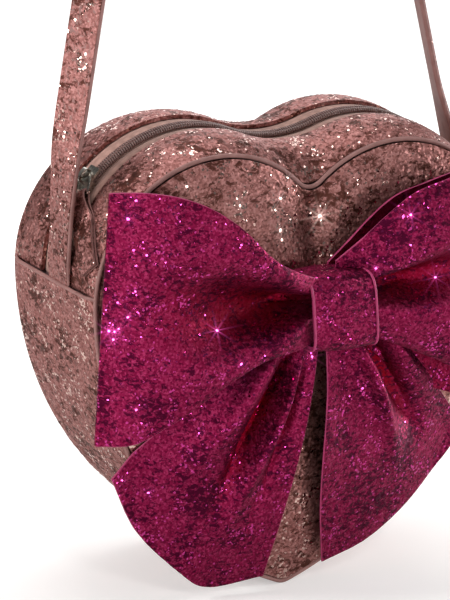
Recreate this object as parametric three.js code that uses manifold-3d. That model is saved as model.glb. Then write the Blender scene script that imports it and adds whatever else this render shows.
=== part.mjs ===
// Heart-shaped shoulder bag in glitter cloth, with a zip over its two lobes, a strap and a large bow.
// Millimetres: +X to the right, -Y to the front, +Z up. The origin is where the strap hangs.

import * as THREE from 'three';
import { mergeVertices } from 'three/addons/utils/BufferGeometryUtils.js';
import Module from 'manifold-3d';

const wasm = await Module();
wasm.setup();

const degree = Math.PI / 180;

// Clearances
const gap = 0.3; // between sewn pieces that touch
const slideGap = 0.7; // between the slider and the zip it runs on
const weld = 1e-4; // points closer than this are one

// Heart body
const heartWidth = 200; // over the panel edges
const lobeRadius = 56;
const sideRadius = 152;
const sideTangent = -4.3 * degree; // where the lobe runs into the side
const tipRadius = 6;
const edgeNotchRadius = 9; // notch between the lobes, at the panel edges
const zipDipRadius = 60; // the same dip, along the zip
const bodyDepth = 73; // from panel edge to panel edge
const sideBulge = 0.8; // gusset at the bag's sides, past the panel edges
const zipBulge = 6.5; // and along the zip, over the tops of the lobes
const panelWall = 2.2;
const panelCrown = 9;
const crownHeight = 118; // height of the fullest point above the tip
const gussetWall = 1.8;
const liningThickness = 0.6;
const pipingDiameter = 2.4;
const pipingSides = 6;

// Zip
const zipOpening = 23; // between the two facings
const tapeUnderlap = 3;
const tapeThickness = 0.8;
const coilWidth = 5.7; // both rows
const coilHeight = 2;
const coilSlit = 1.2;
const coilCrown = 0.5;
const stopAngle = 29 * degree; // end stop, up from the lobe's middle
const stopLength = 3;

// Slider and pull
const sliderAngle = 40 * degree; // closed position on the left lobe
const sliderLength = 12;
const sliderNose = 7; // width at the closed end
const sliderCorner = 1;
const plateThickness = 1.2;
const flangeWidth = 0.9;
const flangeGap = 0.4; // from the coil and the tape
const postLength = 2.5;
const postWidth = 0.5;
const bridgeLength = 6.8;
const bridgeHeight = 4;
const bridgeWidth = 2.4;
const bridgeWall = 1.2;
const ringWire = 1.2;
const ringWidth = 9;
const ringLength = 12;
const pullWidth = 11.5;
const pullLength = 34;
const pullNeck = 12; // length over which it narrows to pass through the ring
const pullClose = 14; // length over which its two layers come together
const pullLayer = 1;
const pullLoopGap = 0.5; // between the pull's fold and the ring
const pullLayerGap = 0.4; // between the two layers at the loose end
const pullLean = 41 * degree; // towards the front, past the strap

// Strap
const strapWidth = 16.5;
const strapLayer = 1.05;
const strapTuck = 6; // below the side seam
const leftRise = 58; // upright above the left seam
const rightRise = 22; // and above the right one
const strapForward = 5.5; // strap's middle, ahead of the zip
const strapTwist = 22 * degree; // towards the front, on both sides
const twistStart = 22; // above the side seam
const twistLength = 55;
const hangHeight = 420; // above the side seam
const hangOffset = 42; // to the left of the bag's middle
const hangRadius = 22;
const hangFlat = 10 * degree; // half of the flat at the top

// Bow
const bowCloth = 1.6;
const bowHeight = 131; // knot's middle above the tip
const bowClear = 1.2; // room behind the loops for their folds
const knotWidth = 33;
const knotHeight = 36;
const knotDepth = 24;
const knotTaper = 1.5;
const loopReach = 104;
const loopRise = 55; // outer edge, above the knot's middle
const loopDrop = 53; // and below it
const loopSwell = 25; // front of the loop, ahead of its back
const loopRoot = 1; // start of the cloth inside the knot, from the bow's middle
const gatherHeight = 24; // loop's height inside the knot
const gatherDepth = 5.6;
const loopPleats = 1;
const tailPleats = 2;
const pleatDepth = 4.5;
const tailPleatDepth = 1.4;
const tailReach = 92;
const tailRise = 60; // tail's outer corner above the tip
const tailDrop = 2; // tail's lowest corner above the tip
const tailArch = 6.5; // tail's middle, ahead of the straight line down
const tailInset = 2; // top corners of a tail, from the bow's middle

// Finishes
const roseGlitter = { color: 0xa97f78, roughness: 0.35, metalness: 0.6 };
const fuchsiaGlitter = { color: 0x9c0f55, roughness: 0.35, metalness: 0.6 };
const mauveEdge = { color: 0x8f6a66, roughness: 0.55, metalness: 0.05 };
const tapeCloth = { color: 0x85706a, roughness: 0.8, metalness: 0 };
const coilNylon = { color: 0x6c5450, roughness: 0.5, metalness: 0 };
const gunmetal = { color: 0x77716f, roughness: 0.3, metalness: 1 };
const liningCloth = { color: 0x7a5a5c, roughness: 0.85, metalness: 0 };

// Places that follow from the sizes
const halfDepth = bodyDepth / 2;
const lobeX = heartWidth / 2 - lobeRadius;
const sideX = lobeX - (sideRadius - lobeRadius) * Math.cos(sideTangent);
const sideZ = tipRadius + Math.sqrt((sideRadius - tipRadius) ** 2 - sideX ** 2);
const lobeZ = sideZ + (sideRadius - lobeRadius) * Math.sin(sideTangent);
const seamZ = lobeZ; // side seams, level with the middles of the lobes
const edgeY = halfDepth - panelWall - gap; // where the gusset ends
const tapeEdge = zipOpening / 2 + tapeUnderlap;
const zipLift = (zipBulge - sideBulge) / 2; // the zip's lobes lie this far up and inwards
const zipGrow = (zipBulge + sideBulge) / 2; // and are this much larger
const zipX = lobeX - zipLift;
const zipZ = lobeZ + zipLift;
const tapeTop = zipGrow - gussetWall - gap;
const coilBase = tapeTop + gap;
const coilTop = coilBase + coilHeight;
const frontFace = -halfDepth - panelCrown;
const knotY = frontFace - gap - knotDepth / 2;
const strapInside = heartWidth / 2 + sideBulge + gap;
const hangCentre = new THREE.Vector2(-hangOffset, seamZ + hangHeight - hangRadius);
const hangTop = hangCentre.y + hangRadius * Math.cos(hangFlat);
const hangPoint = new THREE.Vector3(-hangOffset, -strapForward, hangTop);

const smooth = (t) => THREE.MathUtils.smoothstep(t, 0, 1);

// Closed body from rings of points: each ring is a closed section, paired across for the end caps.
function sweep(rings, closed = false) {
  const count = rings[0].length;
  const corners = rings.flat();
  const faces = [];
  const face = (a, b, c) => {
    const triangle = [corners[a], corners[b], corners[c]];
    const flat = triangle.some((p, i) => p.distanceTo(triangle[(i + 1) % 3]) < weld);
    if (!flat) faces.push(a, b, c);
  };
  const quad = (a, b, c, d) => {
    face(a, b, c);
    face(a, c, d);
  };
  const spans = closed ? rings.length : rings.length - 1;
  for (let i = 0; i < spans; i += 1) {
    const here = i * count;
    const next = ((i + 1) % rings.length) * count;
    for (let k = 0; k < count; k += 1) {
      const after = (k + 1) % count;
      // Both faces of a sheet are split along the same diagonal, so its thickness stays even.
      if (k < count / 2) quad(here + k, here + after, next + after, next + k);
      else quad(here + after, next + after, next + k, here + k);
    }
  }
  if (!closed) {
    const last = (rings.length - 1) * count;
    for (let k = 0; k < count / 2 - 1; k += 1) {
      const mirror = count - 1 - k;
      quad(k, mirror, mirror - 1, k + 1);
      quad(last + k, last + k + 1, last + mirror - 1, last + mirror);
    }
  }
  const geometry = new THREE.BufferGeometry();
  geometry.setAttribute('position', new THREE.Float32BufferAttribute(corners.flatMap((p) => p.toArray()), 3));
  geometry.setIndex(faces);
  return outward(mergeVertices(geometry, weld));
}

// Turns the faces round where the body came out inside out.
function outward(geometry) {
  const [a, b, c] = [new THREE.Vector3(), new THREE.Vector3(), new THREE.Vector3()];
  const { position } = geometry.attributes;
  const index = Array.from(geometry.index.array);
  let volume = 0;
  for (let i = 0; i < index.length; i += 3) {
    a.fromBufferAttribute(position, index[i]);
    b.fromBufferAttribute(position, index[i + 1]);
    c.fromBufferAttribute(position, index[i + 2]);
    volume += a.dot(b.cross(c));
  }
  if (volume < 0) geometry.setIndex(index.reverse());
  geometry.computeVertexNormals();
  return geometry;
}

function toSolid(geometry) {
  const bare = geometry.clone();
  bare.deleteAttribute('normal');
  bare.deleteAttribute('uv');
  const merged = mergeVertices(bare, weld);
  const vertProperties = new Float32Array(merged.attributes.position.array);
  const triVerts = new Uint32Array(merged.index.array);
  return new wasm.Manifold(new wasm.Mesh({ numProp: 3, vertProperties, triVerts }));
}

function join(geometries) {
  const solids = geometries.map(toSolid);
  const mesh = solids.reduce((whole, solid) => whole.add(solid)).getMesh();
  const geometry = new THREE.BufferGeometry();
  geometry.setAttribute('position', new THREE.Float32BufferAttribute(mesh.vertProperties, 3));
  geometry.setIndex(Array.from(mesh.triVerts));
  geometry.computeVertexNormals();
  return geometry;
}

function part(name, geometry, finish) {
  const mesh = new THREE.Mesh(geometry, new THREE.MeshStandardMaterial(finish));
  mesh.name = name;
  return mesh;
}

function arc(x, z, radius, from, to, steps) {
  const points = [];
  for (let i = 0; i <= steps; i += 1) {
    const angle = from + ((to - from) * i) / steps;
    points.push(new THREE.Vector2(x + radius * Math.cos(angle), z + radius * Math.sin(angle)));
  }
  return points;
}

const mirrored = (points) => points.map((p) => new THREE.Vector2(-p.x, p.y)).reverse();

// Over both lobes, down to the seams or to an end angle; grow moves the line outwards, and lift takes the
// lobes from their place at the panel edges, 0, to their place along the zip, 1.
function upperLine(grow, notchRadius, lift = 0, endAngle = undefined) {
  const x = lobeX - zipLift * lift;
  const z = lobeZ + zipLift * lift;
  const notchZ = z + Math.sqrt((lobeRadius + notchRadius) ** 2 - x ** 2);
  const meet = Math.atan2(z - notchZ, x);
  const end = endAngle ?? Math.asin((seamZ - z) / (lobeRadius + grow));
  const notch = arc(0, notchZ, notchRadius - grow, -Math.PI / 2, meet, 3);
  const lobe = arc(x, z, lobeRadius + grow, meet + Math.PI, end, 11);
  const half = [...notch, ...lobe.slice(1)];
  return [...mirrored(half), ...half.slice(1)];
}

// From the right seam round the tip to the left seam.
function lowerLine(grow) {
  const start = -gap / lobeRadius;
  const lobe = arc(lobeX, lobeZ, lobeRadius + grow, start, sideTangent, 1);
  const turn = Math.atan2(tipRadius - sideZ, -sideX);
  const side = arc(sideX, sideZ, sideRadius + grow, sideTangent, turn, 8);
  const tip = arc(0, tipRadius, tipRadius + grow, turn, -Math.PI / 2, 3);
  const half = [...lobe, ...side.slice(1), ...tip.slice(1)];
  return [...half, ...mirrored(half).slice(1)];
}

const heartLoop = (grow) => [...upperLine(grow, edgeNotchRadius), ...lowerLine(grow)];

// Way from the zip's edge to the panel's edge, and how full the gusset is there.
const edgeShare = (y) => Math.max((Math.abs(y) - tapeEdge) / (halfDepth - tapeEdge), 0);
const fullness = (y) => 1 - edgeShare(y) ** 2.5;
const bulgeAt = (y) => sideBulge * fullness(y);
const notchAt = (y) => THREE.MathUtils.lerp(zipDipRadius, edgeNotchRadius, smooth(edgeShare(y)));

function spread(from, to, steps) {
  return Array.from({ length: steps + 1 }, (_, i) => from + ((to - from) * i) / steps);
}

// Band across the depth: line(grow, y) gives its run, top and base its two faces at each y.
function band(line, ys, top, base) {
  const over = ys.map((y) => line(top(y), y));
  const under = ys.map((y) => line(base(y), y));
  const at = (lines, k, i) => new THREE.Vector3(lines[k][i].x, ys[k], lines[k][i].y);
  return sweep(over[0].map((_, i) => [
    ...ys.map((_y, k) => at(over, k, i)),
    ...ys.map((_y, k) => at(under, k, i)).reverse(),
  ]));
}

// Rows of a panel, as shares of the way from its edge to its fullest point
const panelShares = [0, 0.05, 0.14, 0.28, 0.5, 0.75, 1];
const liningShares = [0, 0.15, 0.45, 1];

// Crowned heart panel: side is -1 at the front and 1 at the back.
function heartPanel(side, grow, inset, thickness, shares) {
  const crown = (share) => panelCrown * (1 - (1 - share) ** 3);
  const middle = new THREE.Vector2(0, crownHeight);
  const rings = heartLoop(grow).map((edge) => {
    const run = shares.map((share) => {
      const p = edge.clone().lerp(middle, share);
      return new THREE.Vector3(p.x, side * (halfDepth + crown(share) - inset), p.y);
    });
    const inner = run.map((p) => p.clone().setY(p.y - side * thickness)).reverse();
    return [...run, ...inner];
  });
  return sweep(rings, true);
}

function piping(side) {
  const radius = pipingDiameter / 2;
  const turns = spread(0, 2 * Math.PI, pipingSides).slice(0, -1);
  const lines = turns.map((turn) => heartLoop(gap + radius + radius * Math.cos(turn)));
  const y = side * (halfDepth - panelWall / 2);
  const rings = lines[0].map((_, i) => turns.map((turn, k) => (
    new THREE.Vector3(lines[k][i].x, y + radius * Math.sin(turn), lines[k][i].y))));
  return sweep(rings, true);
}

function lowerGusset() {
  const ys = spread(-edgeY, edgeY, 6);
  return band(lowerLine, ys, bulgeAt, (y) => bulgeAt(y) - gussetWall);
}

function zipFacing(side) {
  const ys = [side * (zipOpening / 2), ...spread(side * tapeEdge, side * edgeY, 4)];
  const line = (grow, y) => upperLine(grow, notchAt(y), fullness(y));
  return band(line, ys, (y) => zipGrow * fullness(y), (y) => zipGrow * fullness(y) - gussetWall);
}

const coilEnd = stopAngle + (stopLength / 2 + gap) / lobeRadius;
const zipLine = (grow) => upperLine(grow, zipDipRadius, 1);
const coilLine = (grow) => upperLine(grow, zipDipRadius, 1, coilEnd);

function zipTape(side) {
  const ys = [side * (coilSlit / 2), side * tapeEdge];
  return band(zipLine, ys, () => tapeTop, () => tapeTop - tapeThickness);
}

function zipCoil(side) {
  const ys = spread(side * (coilSlit / 2), side * (coilWidth / 2), 2);
  const top = (y) => (y === ys[1] ? coilTop : coilTop - coilCrown);
  return band(coilLine, ys, top, () => coilBase);
}

function zipStop() {
  const outline = roundedBox(stopLength, coilWidth, stopLength / 3);
  const settings = { depth: coilHeight, bevelEnabled: false, curveSegments: 3 };
  const block = new THREE.ExtrudeGeometry(outline, settings);
  return block.translate(0, 0, lobeRadius + coilBase);
}

function panelLining(side) {
  const grow = -(gussetWall + liningThickness + 2 * gap);
  return heartPanel(side, grow, panelWall + gap, liningThickness, liningShares);
}

function bandLining() {
  const reach = edgeY - liningThickness - 2 * gap;
  const ys = spread(-reach, reach, 4);
  const top = (y) => bulgeAt(y) - gussetWall - gap;
  return band(lowerLine, ys, top, (y) => top(y) - liningThickness);
}

function roundedBox(length, width, radius) {
  const shape = new THREE.Shape();
  const [x, y] = [length / 2, width / 2];
  shape.moveTo(-x + radius, -y);
  shape.lineTo(x - radius, -y);
  shape.absarc(x - radius, -y + radius, radius, -Math.PI / 2, 0);
  shape.lineTo(x, y - radius);
  shape.absarc(x - radius, y - radius, radius, 0, Math.PI / 2);
  shape.lineTo(-x + radius, y);
  shape.absarc(-x + radius, y - radius, radius, Math.PI / 2, Math.PI);
  shape.lineTo(-x, -y + radius);
  shape.absarc(-x + radius, -y + radius, radius, Math.PI, 1.5 * Math.PI);
  return shape;
}

// Slider: local X runs along the zip towards the open end, local Z away from the lobe's middle.
const flangeInside = coilWidth / 2 + flangeGap;
const sliderWidth = 2 * (flangeInside + flangeWidth);
const plateBase = lobeRadius + coilTop + flangeGap;
const lowerPlateBase = lobeRadius + tapeTop - tapeThickness - slideGap - plateThickness;
const ringAxisZ = plateBase + plateThickness + (bridgeHeight - bridgeWall) / 2;

function sliderPlate() {
  const [x, wide, narrow] = [sliderLength / 2, sliderWidth / 2, sliderNose / 2];
  const shape = new THREE.Shape();
  shape.moveTo(x, -narrow);
  shape.lineTo(x, narrow);
  shape.quadraticCurveTo(x / 3, narrow, 0, wide);
  shape.lineTo(sliderCorner - x, wide);
  shape.quadraticCurveTo(-x, wide, -x, wide - sliderCorner);
  shape.lineTo(-x, sliderCorner - wide);
  shape.quadraticCurveTo(-x, -wide, sliderCorner - x, -wide);
  shape.lineTo(0, -wide);
  shape.quadraticCurveTo(x / 3, -narrow, x, -narrow);
  return new THREE.ExtrudeGeometry(shape, { depth: plateThickness, bevelEnabled: false, curveSegments: 4 });
}

function sliderFlange(side) {
  const base = lobeRadius + tapeTop + flangeGap;
  const height = plateBase + plateThickness / 2 - base;
  const length = sliderLength / 2 - sliderCorner;
  const flange = new THREE.BoxGeometry(length, flangeWidth, height);
  const y = side * (flangeInside + flangeWidth / 2);
  return flange.translate(-length / 2, y, base + height / 2);
}

function sliderPost() {
  const height = plateBase + plateThickness / 2 - lowerPlateBase - plateThickness / 2;
  const post = new THREE.BoxGeometry(postLength, postWidth, height);
  return post.translate(-sliderLength / 2 + postLength, 0, lowerPlateBase + plateThickness / 2 + height / 2);
}

// Arch over the upper plate that the ring turns in.
function sliderBridge() {
  const reach = bridgeLength / 2;
  const shape = new THREE.Shape();
  shape.moveTo(-reach, -plateThickness / 2);
  shape.lineTo(-reach, bridgeHeight / 2);
  shape.quadraticCurveTo(-reach, bridgeHeight, -reach / 3, bridgeHeight);
  shape.lineTo(reach / 3, bridgeHeight);
  shape.quadraticCurveTo(reach, bridgeHeight, reach, bridgeHeight / 2);
  shape.lineTo(reach, -plateThickness / 2);
  shape.lineTo(reach - bridgeWall, -plateThickness / 2);
  shape.lineTo(reach - bridgeWall, bridgeHeight - bridgeWall);
  shape.lineTo(bridgeWall - reach, bridgeHeight - bridgeWall);
  shape.lineTo(bridgeWall - reach, -plateThickness / 2);
  const arch = new THREE.ExtrudeGeometry(shape, { depth: bridgeWidth, bevelEnabled: false, curveSegments: 4 });
  return arch.rotateX(Math.PI / 2).translate(0, bridgeWidth / 2, plateBase + plateThickness);
}

function slider() {
  return join([
    sliderPlate().translate(0, 0, plateBase),
    sliderPlate().translate(0, 0, lowerPlateBase),
    sliderFlange(-1),
    sliderFlange(1),
    sliderPost(),
    sliderBridge(),
  ]);
}

// Ring: lies along -X from the bridge, leaning to the front.
function pullRing() {
  const shape = roundedBox(ringLength, ringWidth, ringWire * 1.5);
  shape.holes.push(roundedBox(ringLength - 2 * ringWire, ringWidth - 2 * ringWire, ringWire / 2));
  const ring = new THREE.ExtrudeGeometry(shape, { depth: ringWire, bevelEnabled: false, curveSegments: 3 });
  ring.translate(-(ringLength - ringWire) / 2, 0, -ringWire / 2);
  return ring.rotateZ(pullLean);
}

// Pull: a strip folded over the ring's lower bar, both layers curving down round the gusset.
function pullStrip() {
  const foldInside = ringWire / 2 + pullLoopGap;
  const base = lobeRadius + zipGrow + gap;
  const reach = ringLength - ringWire;
  const startY = -reach * Math.sin(pullLean);
  const startAngle = sliderAngle - Math.atan2(reach * Math.cos(pullLean), ringAxisZ);
  const startHeight = Math.hypot(reach * Math.cos(pullLean), ringAxisZ);
  const place = (along, across, height) => {
    const angle = startAngle - (along * Math.cos(pullLean) + across * Math.sin(pullLean)) / base;
    const y = startY - along * Math.sin(pullLean) + across * Math.cos(pullLean);
    return new THREE.Vector3(-height * Math.cos(angle), y, height * Math.sin(angle));
  };
  const closing = (along) => smooth(along / pullClose);
  const endHeight = base + pullLayer + pullLayerGap / 2;
  const middleAt = (along) => THREE.MathUtils.lerp(startHeight, endHeight, closing(along));
  const halfAt = (along) => THREE.MathUtils.lerp(foldInside, pullLayerGap / 2, closing(along));
  const rows = [];
  const run = spread(0, pullLength, 8);
  run.toReversed().forEach((along) => rows.push([along, middleAt(along), halfAt(along), 0]));
  spread(30, 150, 4).forEach((turn) => rows.push([0, startHeight, foldInside, turn * degree]));
  run.forEach((along) => rows.push([along, middleAt(along), halfAt(along), Math.PI]));
  const neckWidth = ringWidth - 2 * ringWire - 2 * gap;
  const widthAt = (along) => THREE.MathUtils.lerp(neckWidth, pullWidth, smooth((along - ringWire) / pullNeck));
  return sweep(rows.map(([along, middle, half, turn]) => {
    const point = (across, extra) => place(
      along - (half + extra) * Math.sin(turn),
      across,
      middle + (half + extra) * Math.cos(turn),
    );
    const edges = [-widthAt(along) / 2, widthAt(along) / 2];
    return [
      ...edges.map((across) => point(across, pullLayer)),
      ...edges.map((across) => point(across, 0)).reverse(),
    ];
  }));
}

// Inner face of the strap, from the left seam over the hanging point to the right seam.
function strapLine() {
  const bends = [
    new THREE.Vector2(-strapInside, seamZ + leftRise),
    new THREE.Vector2(strapInside, seamZ + rightRise),
  ];
  const tangent = (start, side) => {
    const away = start.clone().sub(hangCentre);
    return Math.atan2(away.y, away.x) - side * Math.acos(hangRadius / away.length());
  };
  const left = tangent(bends[0], 1) + 2 * Math.PI;
  const right = tangent(bends[1], -1);
  const leftTop = arc(hangCentre.x, hangCentre.y, hangRadius, left, Math.PI / 2 + hangFlat, 4);
  const rightTop = arc(hangCentre.x, hangCentre.y, hangRadius, Math.PI / 2 - hangFlat, right, 4);
  const leg = (bend, end) => [
    ...spread(seamZ - strapTuck, bend.y, 4).map((z) => new THREE.Vector2(bend.x, z)),
    ...spread(0, 1, 8).slice(1, -1).map((t) => bend.clone().lerp(end, t)),
  ];
  const rightLeg = leg(bends[1], rightTop[rightTop.length - 1]).reverse();
  return [...leg(bends[0], leftTop[0]), ...leftTop, ...rightTop, ...rightLeg];
}

// One layer of the strap, from one height over the inner face to another.
function strapStrip(from, to) {
  const line = strapLine();
  const rings = line.map((p, i) => {
    const before = line[Math.max(i - 1, 0)];
    const after = line[Math.min(i + 1, line.length - 1)];
    const out = new THREE.Vector2(-(after.y - before.y), after.x - before.x).normalize();
    const rise = smooth((p.y - seamZ - twistStart) / twistLength);
    const fade = smooth((hangCentre.y - p.y) / (hangHeight / 3));
    const turn = -Math.sign(out.x) * strapTwist * rise * fade;
    const point = (across, height) => {
      const x = across * Math.sin(turn) + height * out.x * Math.cos(turn);
      const y = -across * Math.cos(turn) + height * out.x * Math.sin(turn);
      return new THREE.Vector3(p.x + x, y - strapForward, p.y + height * out.y);
    };
    const half = strapWidth / 2;
    return [point(-half, to), point(half, to), point(half, from), point(-half, from)];
  });
  return sweep(rings);
}

// Plan of a loop, from the knot along the front and back behind: share of its reach, and how far it lies
// behind its fullest point at the front, or ahead of its back.
const loopFront = [[0.28, 6], [0.5, 0], [0.76, 5], [0.95, 16]];
const loopBack = [[1, 2.5], [0.95, 0], [0.5, 0], [0.28, 3]];
const openShare = 0.75; // share of the reach at which the loop's top edge is at its full height
const pleatShare = 0.8; // share of the reach at which the pleats have died out
const frontShare = [0.35, 0.5]; // shares of the cloth's length between which the pleats fade round the fold

function loopPlan() {
  const back = frontFace - gap - bowClear - bowCloth;
  const front = back - loopSwell;
  const knotEdge = knotWidth / 2;
  const gather = gatherDepth / 2;
  const points = [
    [loopRoot, knotY - gather],
    [knotEdge, knotY - gather],
    ...loopFront.map(([share, behind]) => [loopReach * share, front + behind]),
    ...loopBack.map(([share, ahead]) => [loopReach * share, back - ahead]),
    [knotEdge, knotY + gather],
    [loopRoot, knotY + gather],
  ];
  return new THREE.CatmullRomCurve3(points.map(([x, y]) => new THREE.Vector3(x, y, 0)), false, 'centripetal');
}

// Cloth with its two faces: point(share across, lift) places it.
function clothRing(point, across, faces) {
  const shares = spread(0, 1, across);
  return [...shares.map((v) => point(v, faces[0])), ...shares.map((v) => point(v, faces[1])).reverse()];
}

// Bow loop: gathered in the knot, fanning out in pleats that die away before the fold.
function bowLoop(side) {
  const plan = loopPlan();
  const rings = spread(0, 1, 24).map((u) => {
    const p = plan.getPoint(u);
    const run = plan.getTangent(u);
    const out = new THREE.Vector3(run.y, -run.x, 0).normalize();
    const share = THREE.MathUtils.clamp((p.x - knotWidth / 2) / (loopReach - knotWidth / 2), 0, 1);
    const open = Math.sin((Math.PI / 2) * Math.min(share / openShare, 1)) ** 1.3;
    const rise = THREE.MathUtils.lerp(gatherHeight / 2, loopRise, open);
    const drop = THREE.MathUtils.lerp(gatherHeight / 2, loopDrop, smooth(share));
    const onFront = 1 - smooth((u - frontShare[0]) / (frontShare[1] - frontShare[0]));
    const fold = pleatDepth * Math.sin(Math.PI * Math.min(share / pleatShare, 1)) * onFront;
    const point = (v, lift) => {
      const pleat = fold * Math.cos(2 * Math.PI * loopPleats * v);
      const place = p.clone().addScaledVector(out, lift + pleat);
      return new THREE.Vector3(side * place.x, place.y, bowHeight + THREE.MathUtils.lerp(-drop, rise, v));
    };
    return clothRing(point, 12, [bowCloth / 2, -bowCloth / 2]);
  });
  return sweep(rings);
}

// Loose end of a tail, from its outer corner: shares of its reach and rise, and how far it lies
// ahead of the front panel's edge.
const tailEnd = [[1, 1, -2], [0.83, 0.5, 4], [0.42, 0, 4], [0.13, 0, 6]];
const tailFan = 0.83; // share of the length at which the pleats have died out

// Bow tail: a fan of cloth from under the knot to its slanted end.
function bowTail(side) {
  const top = bowHeight - knotHeight / 2 - gap;
  const end = new THREE.CatmullRomCurve3(tailEnd.map(([reach, rise, ahead]) => {
    const height = THREE.MathUtils.lerp(tailDrop, tailRise, rise);
    return new THREE.Vector3(tailReach * reach, -halfDepth - ahead, height);
  }));
  const rings = spread(0, 1, 10).map((u) => {
    const fold = tailPleatDepth * Math.sin(Math.PI * Math.min(u / tailFan, 1));
    const arch = tailArch * Math.sin(Math.PI * u) ** 0.8;
    const point = (v, lift) => {
      const x = THREE.MathUtils.lerp(knotWidth / 2 - tailInset, tailInset, v);
      const p = new THREE.Vector3(x, knotY, top).lerp(end.getPoint(v), u);
      const pleat = fold * Math.cos(2 * Math.PI * tailPleats * v);
      return new THREE.Vector3(side * p.x, p.y - arch + lift - pleat, p.z);
    };
    return clothRing(point, 12, [-bowCloth, 0]);
  });
  return sweep(rings);
}

// Knot: a band wrapped round the gathered middle of the bow.
function bowKnot() {
  const xs = spread(-knotWidth / 2, knotWidth / 2, 6);
  const rings = spread(0, 2 * Math.PI, 24).slice(0, -1).map((turn) => {
    const point = (x, inset) => {
      const taper = knotTaper * (2 * x / knotWidth) ** 2 + inset;
      const y = knotY + (knotDepth / 2 - taper) * Math.cos(turn);
      const z = bowHeight + (knotHeight / 2 - taper) * Math.sin(turn);
      return new THREE.Vector3(x, y, z);
    };
    return [...xs.map((x) => point(x, 0)), ...xs.map((x) => point(x, bowCloth)).reverse()];
  });
  return sweep(rings, true);
}

// Places a group of pieces on a lobe's middle, turned to an angle up from the horizontal.
function onLobe(side, angle, ...pieces) {
  const group = new THREE.Group();
  group.position.set(side * zipX, 0, zipZ);
  group.rotation.y = side * (Math.PI / 2 - angle);
  group.add(...pieces);
  return group;
}

const bag = new THREE.Group();
bag.position.copy(hangPoint).negate();

bag.add(part('front_panel', heartPanel(-1, 0, 0, panelWall, panelShares), roseGlitter));
bag.add(part('back_panel', heartPanel(1, 0, 0, panelWall, panelShares), roseGlitter));
bag.add(part('front_piping', piping(-1), mauveEdge));
bag.add(part('lower_gusset', lowerGusset(), roseGlitter));
bag.add(part('lining_band', bandLining(), liningCloth));

for (const [place, side] of [['front', -1], ['rear', 1]]) {
  bag.add(part(`${place}_zip_facing`, zipFacing(side), roseGlitter));
  bag.add(part(`${place}_zip_tape`, zipTape(side), tapeCloth));
  bag.add(part(`${place}_zip_coil`, zipCoil(side), coilNylon));
  bag.add(part(`${place}_lining`, panelLining(side), liningCloth));
}

bag.add(onLobe(-1, stopAngle, part('left_zip_stop', zipStop(), gunmetal)));
bag.add(onLobe(1, stopAngle, part('right_zip_stop', zipStop(), gunmetal)));

const ring = part('pull_ring', pullRing(), gunmetal);
ring.position.z = ringAxisZ;
bag.add(onLobe(-1, sliderAngle, part('zip_slider', slider(), gunmetal), ring));

const pull = part('pull_strip', pullStrip(), roseGlitter);
pull.position.set(-zipX, 0, zipZ);
bag.add(pull);

bag.add(part('strap_lining', strapStrip(0, strapLayer), mauveEdge));
bag.add(part('strap_outer', strapStrip(strapLayer + gap, 2 * strapLayer + gap), roseGlitter));

for (const [place, side] of [['left', -1], ['right', 1]]) {
  bag.add(part(`bow_loop_${place}`, bowLoop(side), fuchsiaGlitter));
  bag.add(part(`bow_tail_${place}`, bowTail(side), fuchsiaGlitter));
}
bag.add(part('bow_knot', bowKnot(), fuchsiaGlitter));

export default bag;
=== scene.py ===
# Heart-shaped shoulder bag in glitter cloth: a zip over both lobes, a sewn-in strap and a large bow.
import math
import bpy
import bmesh
import numpy as np
from mathutils import Matrix, Vector


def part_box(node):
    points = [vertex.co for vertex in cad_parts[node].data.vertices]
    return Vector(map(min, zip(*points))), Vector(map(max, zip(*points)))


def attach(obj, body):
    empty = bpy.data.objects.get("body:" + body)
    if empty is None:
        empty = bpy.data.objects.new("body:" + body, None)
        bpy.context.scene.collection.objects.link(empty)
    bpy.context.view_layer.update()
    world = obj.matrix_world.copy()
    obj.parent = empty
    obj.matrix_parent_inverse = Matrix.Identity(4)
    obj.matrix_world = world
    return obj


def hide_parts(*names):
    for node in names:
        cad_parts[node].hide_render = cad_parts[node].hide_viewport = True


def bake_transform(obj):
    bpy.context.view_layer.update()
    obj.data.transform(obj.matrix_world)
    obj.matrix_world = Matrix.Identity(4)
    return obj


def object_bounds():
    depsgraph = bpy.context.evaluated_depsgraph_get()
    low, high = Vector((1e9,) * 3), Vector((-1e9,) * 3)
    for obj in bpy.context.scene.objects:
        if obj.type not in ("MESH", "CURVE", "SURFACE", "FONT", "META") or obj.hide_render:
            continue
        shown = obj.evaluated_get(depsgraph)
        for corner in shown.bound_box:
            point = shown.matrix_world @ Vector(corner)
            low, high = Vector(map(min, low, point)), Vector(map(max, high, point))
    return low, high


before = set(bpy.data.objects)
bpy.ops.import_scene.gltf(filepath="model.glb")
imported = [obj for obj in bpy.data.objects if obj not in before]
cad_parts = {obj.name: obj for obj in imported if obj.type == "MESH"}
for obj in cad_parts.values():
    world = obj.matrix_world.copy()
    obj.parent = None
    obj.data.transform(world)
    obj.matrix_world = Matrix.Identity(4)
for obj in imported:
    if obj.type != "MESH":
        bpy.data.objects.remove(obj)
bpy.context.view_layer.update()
bpy.ops.object.select_all(action="DESELECT")
rng = np.random.default_rng(5)
print("frame loaded:", len(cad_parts), "nodes")

# Everything below is in millimetres, with the heart's tip at the bottom and its middle at x = 0
panelLow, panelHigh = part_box("front_panel")
bagMiddle = 500 * (panelLow[0] + panelHigh[0])
bagForward = 500 * (panelLow[1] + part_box("back_panel")[1][1])
bagTip = 1000 * panelLow[2]

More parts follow.
